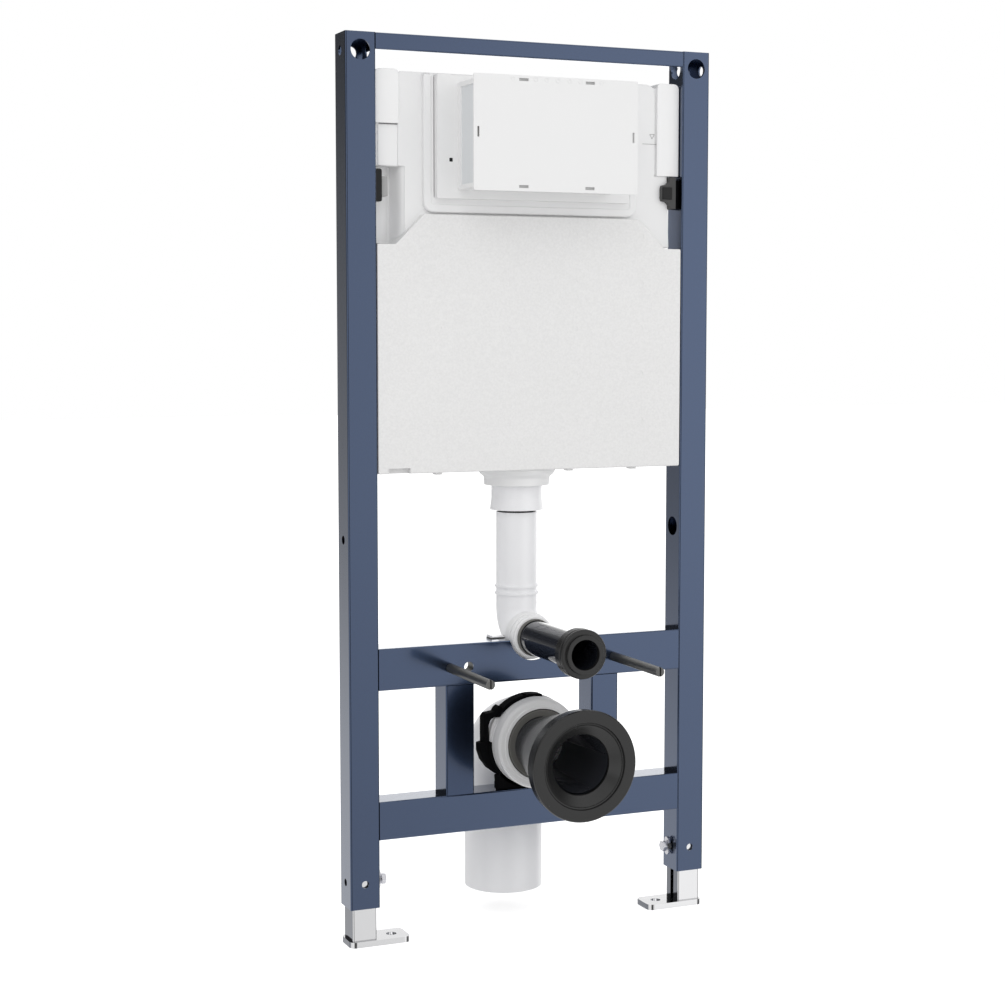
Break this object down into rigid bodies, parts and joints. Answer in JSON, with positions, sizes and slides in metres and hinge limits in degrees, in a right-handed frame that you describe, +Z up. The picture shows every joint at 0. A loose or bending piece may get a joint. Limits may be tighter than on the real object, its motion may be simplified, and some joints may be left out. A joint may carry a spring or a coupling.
{
  "type": "wall hung toilet frame",
  "caption": "Steel frame for a wall hung toilet, with concealed cistern, flush pipe, waste bend, pan connector, pan studs and feet that slide in the posts.",
  "frame": {"origin": "centre of the back face of the top rail", "axes": "+Z up along the posts, +Y back towards the wall, +X to the right seen from the front"},
  "size_m": [0.5, 0.3062, 1.1335],
  "materials": {
    "frame_paint": "smooth blue powder coat",
    "zinc": "bright zinc plate",
    "bolt_steel": "zinc plated",
    "stud_steel": "dark plated",
    "foam": "fine grained foam",
    "tank_plastic": "smooth white",
    "cover_plastic": "smooth white",
    "pipe_plastic": "smooth white",
    "black_plastic": "plain black",
    "tube_plastic": "glossy black",
    "connector_plastic": "glossy dark grey",
    "black_rubber": "smooth"
  },
  "bodies": {
    "frame": {"left_post": "frame_paint", "right_post": "frame_paint", "top_rail": "frame_paint", "stud_rail": "frame_paint", "lower_rail": "frame_paint", "left_upright": "frame_paint", "right_upright": "frame_paint", "left_lock_nut": "stud_steel", "right_lock_nut": "stud_steel", "left_lock_bolt": "bolt_steel", "right_lock_bolt": "bolt_steel", "left_pan_stud": "stud_steel", "right_pan_stud": "stud_steel", "left_stud_nut": "bolt_steel", "right_stud_nut": "bolt_steel", "left_bush": "bolt_steel", "right_bush": "bolt_steel", "foam_jacket": "foam", "tank_body": "tank_plastic", "left_ear": "tank_plastic", "right_ear": "tank_plastic", "left_column": "tank_plastic", "front_plate": "tank_plastic", "service_box": "cover_plastic", "service_cover": "cover_plastic", "left_clip": "black_plastic", "right_clip": "black_plastic", "outlet_socket": "pipe_plastic", "socket_seal": "black_rubber", "flush_pipe": "pipe_plastic", "flush_nut": "pipe_plastic", "tube_seal": "black_rubber", "flush_tube": "tube_plastic", "flush_seal": "black_rubber", "pipe_saddle": "zinc", "waste_bend": "pipe_plastic", "waste_ring": "pipe_plastic", "waste_clamp": "black_plastic", "pan_connector": "connector_plastic", "pan_seal": "black_rubber"},
    "left_foot": {"left_leg": "zinc", "left_foot_plate": "zinc"},
    "right_foot": {"right_leg": "zinc", "right_foot_plate": "zinc"}
  },
  "joints": [
    {"name": "left_foot_slide", "type": "slide", "parent": "frame", "child": "left_foot", "axis": [0, 0, 1], "range_m": [-0.164, 0.036]},
    {"name": "right_foot_slide", "type": "slide", "parent": "frame", "child": "right_foot", "axis": [0, 0, 1], "range_m": [-0.164, 0.036]}
  ]
}
